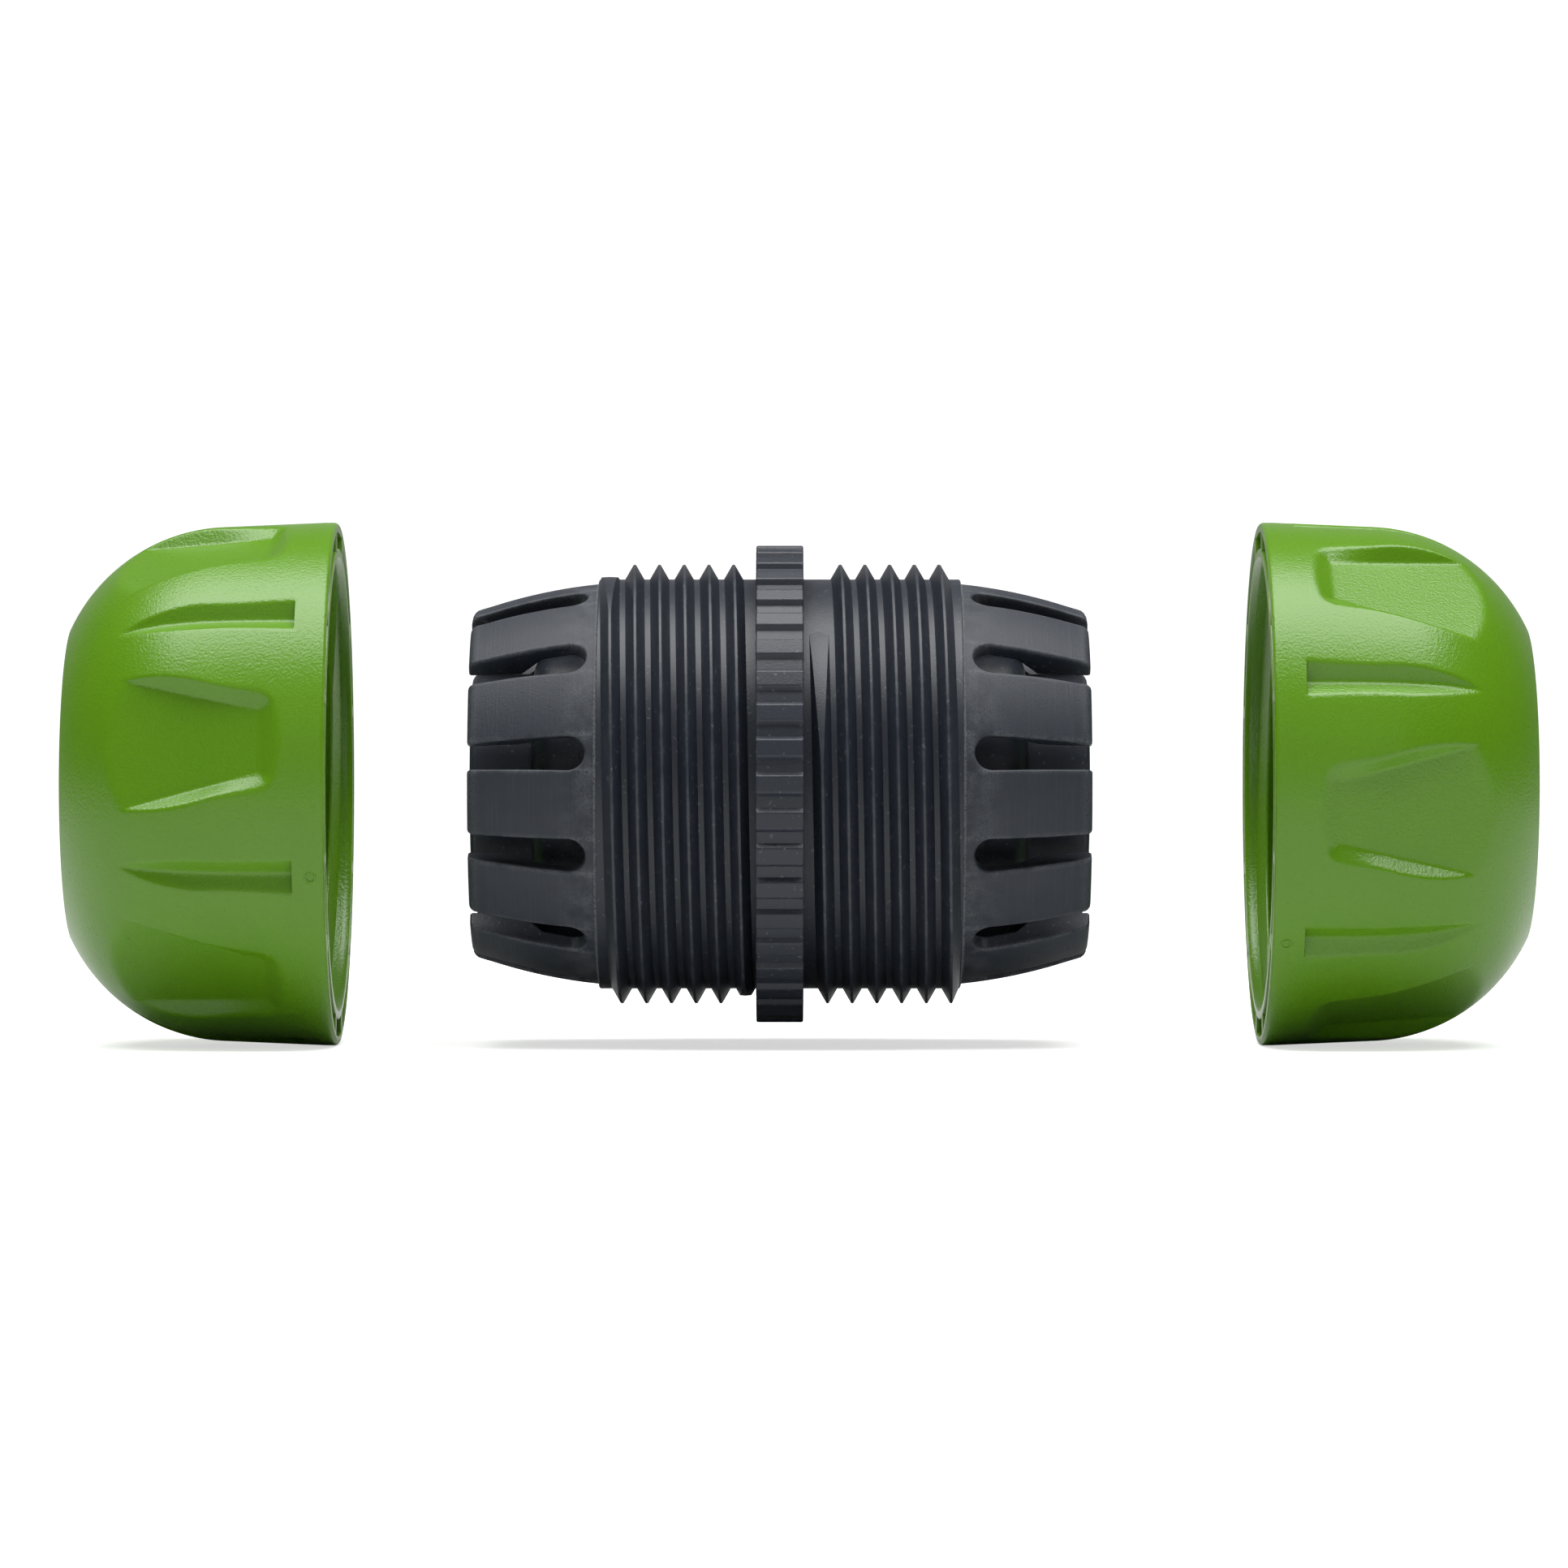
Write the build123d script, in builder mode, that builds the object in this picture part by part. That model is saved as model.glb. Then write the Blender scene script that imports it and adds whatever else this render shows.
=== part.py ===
"""Hose mender for a 19 mm garden hose, with its two clamping nuts unscrewed.

A coupling body, moulded in one piece, has at each end a hose tail, a ring of springy clamping
fingers and an outside screw thread. Two grip nuts of one moulding stand off its ends, mouths
towards it. Each piece is modelled upright about Z, then laid in the row. The row lies along X
on the rims of its nuts, the middle of its length at X = 0 and the floor at Z = 0.
"""
import os
from math import cos, radians, sin, tan

from build123d import *

os.makedirs("parts", exist_ok=True)

# Waterway and hose tail, from the inside out
bore_radius = 7.0
nose_wall = 1.9
nose_edge = 0.5
tail_swell = 1.96
tail_beyond_thread = 3.3
hose_space = 3.44
jaw_space = 1.54
web_thickness = 4.0

# Sleeve round the tail, with an outside thread, right-handed at both ends
sleeve_wall = 2.28
thread_length = 12.7
thread_pitch = 2.0
thread_height = 1.18
thread_root_flat = 0.44
thread_crest = 0.2
thread_sink = 0.25
thread_run_out = 60
right_thread_start = 1.2
right_thread_stop = 0.31
right_thread_turn = -50
left_thread_start = 0.85
left_thread_stop = 0.7
left_thread_turn = -90

# Clamping fingers
finger_count = 12
finger_length = 10.2
finger_step = 0.38
finger_bulge_drop = 0.83
finger_nose_drop = 2.05
finger_corner = 0.8
finger_wall = 1.25
finger_thin_length = 4.3
jaw_slope = 1.7
slot_root_width = 2.76
slot_tip_width = 2.04
slot_setback = 0.8
slot_turn = -9

# Flange with its knurl
flange_stand = 1.54
flange_width = 3.8
flange_edge = 0.35
knurl_ribs = 42
knurl_depth = 0.4
knurl_gap_share = 0.44
knurl_flank = 0.3
knurl_turn = -4.2

# Nut inside
thread_clearance = 0.26
finger_clearance = 0.25
nut_thread_length = 9.3
end_wall = 2.0
hose_hole_space = 1.44
hose_hole_edge = 0.5
mouth_flare = 0.38
mouth_lead = 0.6

# Nut rim and outside
pocket_inner_wall = 0.68
pocket_width = 1.35
pocket_outer_wall = 0.74
pocket_depth = 2.1
pocket_rib = 0.9
pocket_groups = 6
pocket_short_half_angle = 11
pocket_turn = 21.6
nut_taper = 2.44
nut_taper_length = 9.3
rim_band = 1.0
nut_edge = 0.35

# Grip recesses and grooves of the nut
grip_count = 6
recess_start = 5.07
recess_rim_depth = 1.04
recess_floor_slope = 10.5
recess_floor_half_width = 2.5
recess_spread = 13.4
recess_length = 13.5
recess_side_slope = 46
recess_rim_slope = 60
recess_reach = 2.5
recess_corner = 0.9
groove_start = 2.6
groove_middle = 10.2
groove_end = 16.2
groove_start_drop = 0.97
groove_middle_drop = 1.17
groove_end_drop = 2.57
groove_half_angle = 59
groove_reach = 2.0

# Row: how far each nut stands off the finger tips, and how each is turned about its axis
left_gap = 10.9
right_gap = 14.0
left_nut_turn = 9.6
right_nut_turn = 6.6

# Radii, each from the one inside it
nose_radius = bore_radius + nose_wall
tail_radius = nose_radius + tail_swell
jaw_radius = tail_radius + jaw_space
cavity_radius = tail_radius + hose_space
thread_root_radius = cavity_radius + sleeve_wall
thread_crest_radius = thread_root_radius + thread_height
finger_root_radius = thread_root_radius - finger_step
flange_radius = thread_crest_radius + flange_stand
hose_hole_radius = tail_radius + hose_hole_space
nut_bore_radius = thread_crest_radius + thread_clearance
mouth_radius = nut_bore_radius + mouth_flare
pocket_inner_radius = mouth_radius + pocket_inner_wall
pocket_outer_radius = pocket_inner_radius + pocket_width
nut_rim_radius = pocket_outer_radius + pocket_outer_wall

# Heights above the middle of the body, above a nut's rim, and places along the row
web_face = web_thickness / 2
flange_face = flange_width / 2
thread_end = flange_face + thread_length
tip_face = thread_end + finger_length
root_seat = nut_thread_length
tip_seat = root_seat + finger_length
nut_length = tip_seat + end_wall
body_x = (left_gap - right_gap) / 2
left_rim_x = body_x - tip_face - left_gap
right_rim_x = body_x + tip_face + right_gap


def finger_outside(shift, clearance):
    """Points of a finger's curved outside, shifted along the axis and moved out by a clearance."""
    middle = finger_length / 2
    nose = finger_length - finger_corner
    return (
        (finger_root_radius + clearance, shift),
        (finger_root_radius - finger_bulge_drop + clearance, shift + middle),
        (finger_root_radius - finger_nose_drop + clearance, shift + nose),
    )


# One half of the body: flange, thread core, finger ring and hose tail as one section
root_point, bulge_point, nose_point = finger_outside(thread_end, 0)
jaw_start = thread_end + finger_thin_length
with BuildPart() as half_body:
    with BuildSketch(Plane.XZ):
        with BuildLine():
            Polyline(
                (bore_radius, 0),
                (flange_radius, 0),
                (flange_radius, flange_face),
                (thread_root_radius, flange_face),
                (thread_root_radius, thread_end),
                root_point,
            )
            ThreePointArc(root_point, bulge_point, nose_point)
            TangentArc(
                nose_point,
                (nose_point[0] - finger_corner, tip_face),
                tangent=(nose_point[0] - bulge_point[0], nose_point[1] - bulge_point[1]),
            )
            Polyline(
                (nose_point[0] - finger_corner, tip_face),
                (jaw_radius, tip_face),
                (jaw_radius, jaw_start + jaw_slope),
                (bulge_point[0] - finger_wall, jaw_start),
                (root_point[0] - finger_wall, thread_end),
                (cavity_radius, web_face),
                (tail_radius, web_face),
                (tail_radius, thread_end + tail_beyond_thread),
            )
            RadiusArc(
                (tail_radius, thread_end + tail_beyond_thread),
                (nose_radius, thread_end + tail_beyond_thread + tail_swell),
                -tail_swell,
            )
            Polyline(
                (nose_radius, thread_end + tail_beyond_thread + tail_swell),
                (nose_radius, tip_face - nose_edge),
                (nose_radius - nose_edge, tip_face),
                (bore_radius, tip_face),
                (bore_radius, 0),
            )
        make_face()
    revolve(axis=Axis.Z)

# A slot between two fingers: round at its root, narrower at the tips, clear of the hose tail
slot_root = thread_end + slot_setback + slot_root_width / 2
slot_floor = (tail_radius + jaw_radius) / 2
with BuildPart() as finger_slot:
    with BuildSketch(Plane(origin=(slot_floor, 0, 0), x_dir=(0, 0, 1), z_dir=(1, 0, 0))):
        with Locations((slot_root, 0)):
            Circle(slot_root_width / 2)
        with BuildLine():
            Polyline(
                (slot_root, slot_root_width / 2),
                (tip_face, slot_tip_width / 2),
                (tip_face + slot_setback, slot_tip_width / 2),
                (tip_face + slot_setback, -slot_tip_width / 2),
                (tip_face, -slot_tip_width / 2),
                (slot_root, -slot_root_width / 2),
                close=True,
            )
        make_face()
    extrude(amount=flange_radius - slot_floor)

# The gap between two knurl ribs, across the whole flange
gap_angle = 360 / knurl_ribs * knurl_gap_share
gap_half = radians(gap_angle / 2) * flange_radius
with BuildPart() as knurl_gap:
    with BuildSketch(Plane.XY.offset(-flange_width)):
        with BuildLine():
            Polyline(
                (flange_radius - knurl_depth, -gap_half + knurl_flank / 2),
                (flange_radius + knurl_depth, -gap_half - 3 * knurl_flank / 2),
                (flange_radius + knurl_depth, gap_half + 3 * knurl_flank / 2),
                (flange_radius - knurl_depth, gap_half - knurl_flank / 2),
                close=True,
            )
        make_face()
    extrude(amount=2 * flange_width)

# Thread ridges: a V swept along a helix, its flanks carried down into the core, that rises and
# sinks at its two ends
thread_base = thread_pitch - thread_root_flat
ridge_foot = thread_base / 2 + thread_sink * (thread_base - thread_crest) / 2 / thread_height
ridge_lean = (ridge_foot - thread_crest / 2) / (thread_height + thread_sink)
faded = -thread_sink / 2
run_out_rise = thread_pitch * thread_run_out / 360


def ridge_corners(height):
    """Corners of the ridge's section when it stands to a height over the core."""
    half = ridge_foot - ridge_lean * (height + thread_sink)
    return ((-thread_sink, -ridge_foot), (height, -half), (height, half), (-thread_sink, ridge_foot))


def ridge_spans(low, high, turn):
    """The run-in, the full ridge and the run-out: start height and turn, rise, end heights."""
    full_rise = high - low - 2 * run_out_rise
    full_turn = turn + thread_run_out
    last_turn = full_turn + 360 * full_rise / thread_pitch
    return (
        (low, turn, run_out_rise, (faded, thread_height)),
        (low + run_out_rise, full_turn, full_rise, (thread_height, thread_height)),
        (high - run_out_rise, last_turn, run_out_rise, (thread_height, faded)),
    )


right_thread = (flange_face + right_thread_start, thread_end - right_thread_stop, right_thread_turn)
left_thread = (left_thread_start - thread_end, -flange_face - left_thread_stop, left_thread_turn)
with BuildPart() as thread_ridges:
    for start, turn, rise, heights in (*ridge_spans(*right_thread), *ridge_spans(*left_thread)):
        helix = Helix(thread_pitch, rise, thread_root_radius, center=(0, 0, start), mode=Mode.PRIVATE)
        run = helix.rotate(Axis.Z, turn)
        for share, height in zip((0, 1), heights):
            place = run @ share
            with BuildSketch(Plane(origin=place, x_dir=(place.X, place.Y, 0), z_dir=run % share)):
                with BuildLine():
                    Polyline(*ridge_corners(height), close=True)
                make_face()
        sweep(path=run, is_frenet=True, multisection=True)
    Cylinder(flange_radius, 2 * thread_end, mode=Mode.INTERSECT)

# The coupling body: both halves, slotted, knurled and threaded
with BuildPart() as coupling_body:
    add(half_body.part)
    with PolarLocations(0, finger_count, start_angle=slot_turn):
        add(finger_slot.part, mode=Mode.SUBTRACT)
    mirror(about=Plane.XY)
    rim = coupling_body.edges().filter_by(GeomType.CIRCLE).filter_by(
        lambda edge: abs(edge.radius - flange_radius) < 1e-6
    )
    fillet(rim, radius=flange_edge)
    with PolarLocations(0, knurl_ribs, start_angle=knurl_turn):
        add(knurl_gap.part, mode=Mode.SUBTRACT)
    add(thread_ridges.part)

# The nut's solid of revolution: tapered grip, rounded shoulder, threaded bore and finger seat
taper_end_radius = nut_rim_radius - (nut_taper_length - rim_band) * tan(radians(nut_taper))
seat_root, seat_bulge, seat_nose = finger_outside(root_seat, finger_clearance)
with BuildPart() as nut_blank:
    with BuildSketch(Plane.XZ):
        with BuildLine():
            Polyline(
                (mouth_radius, 0),
                (nut_rim_radius, 0),
                (nut_rim_radius, rim_band),
                (taper_end_radius, nut_taper_length),
            )
            TangentArc(
                (taper_end_radius, nut_taper_length),
                (hose_hole_radius + hose_hole_edge, nut_length),
                tangent=(-sin(radians(nut_taper)), cos(radians(nut_taper))),
            )
            Polyline(
                (hose_hole_radius + hose_hole_edge, nut_length),
                (hose_hole_radius, nut_length - hose_hole_edge),
                (hose_hole_radius, tip_seat),
                (seat_nose[0] - finger_corner, tip_seat),
                seat_nose,
            )
            ThreePointArc(seat_nose, seat_bulge, seat_root)
            Polyline(
                seat_root,
                (nut_bore_radius, root_seat),
                (nut_bore_radius, mouth_lead),
                (mouth_radius, 0),
            )
        make_face()
    revolve(axis=Axis.Z)
    rim_edges = nut_blank.edges().filter_by(GeomType.CIRCLE).group_by(Axis.Z)[0].sort_by(SortBy.RADIUS)
    fillet(rim_edges[-1], radius=nut_edge)

# A grip recess: a floor that dips towards the shoulder, between walls that lean outwards
slope = radians(recess_floor_slope)
floor_plane = Plane(
    origin=(nut_rim_radius - recess_rim_depth, 0, recess_start),
    x_dir=(-sin(slope), 0, cos(slope)),
    z_dir=(cos(slope), 0, sin(slope)),
)


def recess_outline(height):
    """Corners of the recess at a height above its floor, rim end first."""
    spread = tan(radians(recess_spread))
    lean = height * tan(radians(recess_side_slope)) / cos(radians(recess_spread))
    start = -height * tan(radians(recess_rim_slope))
    start_half = recess_floor_half_width + start * spread + lean
    end_half = recess_floor_half_width + recess_length * spread + lean
    return (
        (start, -start_half),
        (recess_length, -end_half),
        (recess_length, end_half),
        (start, start_half),
    )


with BuildPart() as grip_recess:
    for height in (0, recess_reach):
        with BuildSketch(floor_plane.offset(height)):
            with BuildLine():
                Polyline(*recess_outline(height), close=True)
            make_face()
    loft()
    rim_corners = grip_recess.edges().filter_by(floor_plane, reverse=True).sort_by(Axis.Z)[:2]
    fillet(rim_corners, radius=recess_corner)

# A grip groove: a V that follows the shoulder and runs out on it
groove_half = groove_reach * tan(radians(groove_half_angle))
groove_start_radius = nut_rim_radius - groove_start_drop
with BuildPart() as grip_groove:
    with BuildLine(Plane.XZ) as groove_path:
        ThreePointArc(
            (groove_start_radius, groove_start),
            (nut_rim_radius - groove_middle_drop, groove_middle),
            (nut_rim_radius - groove_end_drop, groove_end),
        )
    with BuildSketch(Plane.XY.offset(groove_start)):
        with BuildLine():
            Polyline(
                (groove_start_radius, 0),
                (groove_start_radius + groove_reach, -groove_half),
                (groove_start_radius + groove_reach, groove_half),
                close=True,
            )
        make_face()
    sweep(path=groove_path.wire())

# A pocket in the rim, one long and one short by turns, with thin ribs between them
with BuildPart() as rim_pockets:
    with BuildSketch(Plane.XY):
        Circle(pocket_outer_radius)
        Circle(pocket_inner_radius, mode=Mode.SUBTRACT)
        for side in (-1, 1):
            rib_turn = pocket_turn + side * pocket_short_half_angle
            with PolarLocations((pocket_inner_radius + pocket_outer_radius) / 2, pocket_groups,
                                start_angle=rib_turn):
                Rectangle(nut_rim_radius - mouth_radius, pocket_rib, mode=Mode.SUBTRACT)
    extrude(amount=pocket_depth)

# The nut, grips and pockets cut
with BuildPart() as nut:
    add(nut_blank.part)
    with PolarLocations(0, grip_count):
        add(grip_recess.part, mode=Mode.SUBTRACT)
    with PolarLocations(0, grip_count, start_angle=180 / grip_count):
        add(grip_groove.part, mode=Mode.SUBTRACT)
    add(rim_pockets.part, mode=Mode.SUBTRACT)

# Lay the pieces in the row, the side that was their local X facing front
body_seat = Plane(origin=(body_x, 0, nut_rim_radius), x_dir=(0, -1, 0), z_dir=(1, 0, 0))
left_seat = Plane(origin=(left_rim_x, 0, nut_rim_radius), x_dir=(0, -1, 0), z_dir=(-1, 0, 0))
right_seat = Plane(origin=(right_rim_x, 0, nut_rim_radius), x_dir=(0, -1, 0), z_dir=(1, 0, 0))
row = (
    ("coupling_body", coupling_body.part, body_seat, 0),
    ("left_nut", nut.part, left_seat, left_nut_turn),
    ("right_nut", nut.part, right_seat, right_nut_turn),
)
for name, piece, seat, turn in row:
    laid = seat.location * (Rotation(0, 0, turn) * piece)
    laid.label = name
    export_step(laid, f"parts/{name}.step")
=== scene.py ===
from math import asin, atan2, cos, degrees, hypot, pi, radians, sin, sqrt, tan

import bmesh
import bpy
from mathutils import Matrix, Vector


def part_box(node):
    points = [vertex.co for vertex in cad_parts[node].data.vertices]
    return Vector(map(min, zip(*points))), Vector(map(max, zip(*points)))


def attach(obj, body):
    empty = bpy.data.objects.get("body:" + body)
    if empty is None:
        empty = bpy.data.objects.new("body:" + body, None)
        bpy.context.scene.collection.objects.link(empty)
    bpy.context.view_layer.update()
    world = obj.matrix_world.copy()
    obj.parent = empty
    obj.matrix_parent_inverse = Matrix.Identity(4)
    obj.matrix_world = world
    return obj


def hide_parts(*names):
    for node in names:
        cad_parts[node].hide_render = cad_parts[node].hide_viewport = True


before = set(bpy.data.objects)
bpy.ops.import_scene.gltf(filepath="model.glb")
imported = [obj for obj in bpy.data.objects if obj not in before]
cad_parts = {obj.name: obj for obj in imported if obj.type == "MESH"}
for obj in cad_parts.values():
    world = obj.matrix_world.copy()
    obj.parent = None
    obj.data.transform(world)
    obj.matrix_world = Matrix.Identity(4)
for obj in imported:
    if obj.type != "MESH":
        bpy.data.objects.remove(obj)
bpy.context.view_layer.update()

# The row. A coupling body lies between the open mouths of its two nuts, all on one axis.
# Each piece is shaped upright about Z in millimetres, as it comes out of its mould, and is then
# laid along X with the side that was its X facing the front.
MM = 0.001
body_low, body_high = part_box("coupling_body")
left_low, left_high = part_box("left_nut")
right_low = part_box("right_nut")[0]
axis_height = (left_low.z + left_high.z) / 2
body_middle = (body_low.x + body_high.x) / 2


def lay(bm, x, facing, turn=0):
    """Turns an upright piece about its axis and lays it at x, its top towards +X or -X."""
    axes = Matrix(((0, 0, facing), (-1, 0, 0), (0, -facing, 0))).to_4x4()
    spot = Matrix.Translation((x, 0, axis_height))
    bm.transform(spot @ axes @ Matrix.Rotation(radians(turn), 4, "Z") @ Matrix.Scale(MM, 4))


# Coupling body: one moulding in dark slate plastic. Its middle is a threaded sleeve with a web
# inside it, from which a hose tail reaches out at each end, with the waterway through both.
thread_end = 14.6
core_radius = 16.58
core_edge = 0.1
core_row = 7
core_columns = 120
root_radius = 16.2
finger_wall = 1.25
sleeve_inside = 14.3
web_half = 2.0
bore_radius = 7.0
bore_edge = 0.2
nose_radius = 8.9
nose_edge = 0.4
nose_edge_middle = 0.15
tail_radius = 10.86
tail_shoulder = thread_end + 3.3
shoulder_steps = 8
tip_height = (body_high.x - body_low.x) / MM / 2


def spun(bm, outline, columns, closed=True):
    """Spins an outline of (radius, height) points about Z into a skin without a seam."""
    verts = [bm.verts.new((radius, 0, height)) for radius, height in outline]
    edges = [bm.edges.new(pair) for pair in zip(verts, verts[1:])]
    if closed:
        edges.append(bm.edges.new((verts[-1], verts[0])))
    bmesh.ops.spin(
        bm, geom=verts + edges, cent=(0, 0, 0), axis=(0, 0, 1), angle=2 * pi, steps=columns, use_merge=True
    )


def both_ends(outline):
    """An outline that goes from one end's middle to its tip, with the other end's added."""
    return outline + [(radius, -height) for radius, height in reversed(outline)]


inside = [(root_radius - finger_wall, thread_end), (sleeve_inside, web_half), (tail_radius, web_half)]
inside.append((tail_radius, tail_shoulder))
swell = tail_radius - nose_radius
for step in range(1, shoulder_steps + 1):
    lean = radians(90 * step / shoulder_steps)
    inside.append((nose_radius + swell * cos(lean), tail_shoulder + swell * sin(lean)))
inside += [
    (nose_radius, tip_height - nose_edge),
    (nose_radius - nose_edge_middle, tip_height - nose_edge_middle),
    (nose_radius - nose_edge, tip_height),
    (bore_radius + bore_edge, tip_height),
    (bore_radius, tip_height - bore_edge),
]
outside = [
    (root_radius, thread_end),
    (core_radius - core_edge, thread_end),
    (core_radius, thread_end - core_edge),
    (core_radius, core_row),
]
body = bmesh.new()
spun(body, both_ends(inside), core_columns, closed=False)
spun(body, both_ends(outside), core_columns, closed=False)

# Clamping fingers: twelve at each end, moulded in one with the sleeve and parted by slots that
# are round at their roots. Their outside curves in to a rounded nose, and their jaws lie inside.
finger_count = 12
finger_length = 10.2
bulge_radius = 15.37
finger_nose = (14.15, 24.0)
nose_round = 0.8
jaw_radius = 12.4
jaw_edge = 0.15
jaw_flat = 0.5
jaw_rows = (23.2, 21.9, 20.6)
jaw_back = (13.26, 19.75)
jaw_end = 18.9
wall_row = 17.8
slot_turn = -9
slot_radius = 1.38
slot_tip_half = 1.02
slot_setback = 0.8
slot_height = thread_end + slot_setback + slot_radius
slot_steps = 10
side_steps = 9
slot_edge_round = 0.2
slot_edge_turn = radians(50)
touching = 0.001
column_shares = (0, 0.14, 0.32, 0.55, 0.78, 1)


def circle_through(first, middle, last):
    """Centre and radius of the circle through three points."""
    (ax, ay), (bx, by), (cx, cy) = first, middle, last
    spread = 2 * (ax * (by - cy) + bx * (cy - ay) + cx * (ay - by))
    a, b, c = ax * ax + ay * ay, bx * bx + by * by, cx * cx + cy * cy
    centre_x = (a * (by - cy) + b * (cy - ay) + c * (ay - by)) / spread
    centre_y = (a * (cx - bx) + b * (ax - cx) + c * (bx - ax)) / spread
    return centre_x, centre_y, hypot(ax - centre_x, ay - centre_y)


bulge = (bulge_radius, thread_end + finger_length / 2)
curve_x, curve_y, curve_radius = circle_through((root_radius, thread_end), bulge, finger_nose)


def outer_radius(height):
    return curve_x + sqrt(curve_radius**2 - (height - curve_y) ** 2)


def inner_radius(height):
    share = (height - thread_end) / (jaw_end - thread_end)
    return root_radius - finger_wall + (bulge_radius - root_radius) * share


def slot_half(height):
    share = (height - slot_height) / (tip_height - slot_height)
    return slot_radius + (slot_tip_half - slot_radius) * share


# Stations round half a slot, from the middle of its root on the outside over the finger's tip to
# the middle of its root on the inside. Each gives the slot's edge and the border that faces it.
half_step = pi / finger_count
root_stations = []
for step in range(slot_steps + 1):
    lean = pi / 2 * (1 - step / slot_steps)
    edge = (slot_height - slot_radius * sin(lean), slot_radius * cos(lean))
    corner = min(1, 2 * (1 - lean / (pi / 2)))
    rise = max(0, 1 - 2 * lean / (pi / 2))
    border = (thread_end + (slot_height - thread_end) * rise, half_step * corner)
    root_stations.append((edge, border))
side_points = []
for step in range(1, side_steps):
    height = slot_height + (finger_nose[1] - slot_height) * step / side_steps
    side_points.append((outer_radius(height), height))
for lean in map(radians, (10, 30, 50, 70, 90)):
    fall, rise = nose_round * (1 - cos(lean)), nose_round * sin(lean)
    side_points.append((finger_nose[0] - fall, finger_nose[1] + rise))
side_points += [(jaw_radius + jaw_flat, tip_height), (jaw_radius + jaw_edge, tip_height)]
side_points.append((jaw_radius, tip_height - jaw_edge))
side_points += [(jaw_radius, height) for height in jaw_rows]
side_points.append(jaw_back)
side_points += [(inner_radius(height), height) for height in (jaw_end, wall_row)]

stations = [(outer_radius, edge, border) for edge, border in root_stations]
for radius, height in side_points:
    stations.append((lambda height, radius=radius: radius, (height, slot_half(height)), (height, half_step)))
stations += [(inner_radius, edge, border) for edge, border in reversed(root_stations)]

fingers = bmesh.new()
last = len(stations) - 1
rows = len(column_shares) - 1
bmesh.ops.create_grid(fingers, x_segments=last, y_segments=rows, size=1)
slot_edge = {}
for vert in fingers.verts:
    number = round((vert.co.x + 1) / 2 * last)
    share = column_shares[round((vert.co.y + 1) / 2 * rows)]
    radius_at, (edge_height, edge_half), (border_height, border_turn) = stations[number]
    height = edge_height + (border_height - edge_height) * share
    edge_turn = asin(edge_half / radius_at(edge_height))
    turn = edge_turn + (border_turn - edge_turn) * share
    vert.co = (radius_at(height) * cos(turn), radius_at(height) * sin(turn), height)
    if share == 0:
        slot_edge[number] = vert
for number in range(slot_steps):
    fingers.faces.new(
        (slot_edge[number], slot_edge[number + 1], slot_edge[last - number - 1], slot_edge[last - number])
    )
fingers.faces.new([slot_edge[number] for number in range(slot_steps, last - slot_steps + 1)])


def whole(bm):
    """All corners, edges and faces of a mesh."""
    return bm.verts[:] + bm.edges[:] + bm.faces[:]


def on_slot(vert):
    """Whether a corner lies on the slot's outline."""
    if vert.co.z < slot_height:
        return abs(hypot(vert.co.z - slot_height, vert.co.y) - slot_radius) < touching
    return abs(abs(vert.co.y) - slot_half(vert.co.z)) < touching


def round_edges(bm, edges, offset, segments):
    """Rounds some edges."""
    bmesh.ops.bevel(
        bm, geom=edges, offset=offset, affect="EDGES", segments=segments, profile=0.5, material=-1
    )


def turn_round(bm, turn):
    """Turns a part about Z, by degrees."""
    bmesh.ops.rotate(bm, cent=(0, 0, 0), matrix=Matrix.Rotation(radians(turn), 3, "Z"), verts=bm.verts)


def repeat_round(bm, count):
    """Adds copies of a part round Z until there are as many as the count."""
    bmesh.ops.spin(
        bm, geom=whole(bm), cent=(0, 0, 0), axis=(0, 0, 1), angle=2 * pi * (count - 1) / count,
        steps=count - 1, use_duplicate=True
    )


def join(bm, part):
    """Adds a part that was made on its own."""
    mesh = bpy.data.meshes.new("part")
    part.to_mesh(mesh)
    part.free()
    bm.from_mesh(mesh)
    bpy.data.meshes.remove(mesh)


bmesh.ops.mirror(fingers, geom=whole(fingers), axis="Y", merge_dist=touching)
bmesh.ops.remove_doubles(fingers, verts=fingers.verts, dist=touching)
bmesh.ops.recalc_face_normals(fingers, faces=fingers.faces)
slot_edges = [
    edge
    for edge in fingers.edges
    if all(map(on_slot, edge.verts)) and edge.is_manifold and edge.calc_face_angle() > slot_edge_turn
]
round_edges(fingers, slot_edges, slot_edge_round, 3)
turn_round(fingers, slot_turn)
repeat_round(fingers, finger_count)
bmesh.ops.mirror(fingers, geom=whole(fingers), axis="Z", merge_dist=touching)
join(body, fingers)
bmesh.ops.remove_doubles(body, verts=body.verts, dist=2 * touching)

# Knurled flange, moulded round the middle of the sleeve: a plain ring that carries forty-two
# flat-topped ribs with rounded edges, for the hand.
flange_radius = 19.3
flange_half = 1.9
knurl_ribs = 42
knurl_depth = 0.4
knurl_turn = -4.2
rib_half = 0.66
rib_foot_half = 0.94
rib_bury = 0.3
rib_edge_round = 0.14
ring_radius = flange_radius - knurl_depth
ring_inside = 15.6
ring_half = flange_half - 0.03
ring_edge_round = 0.12


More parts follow.
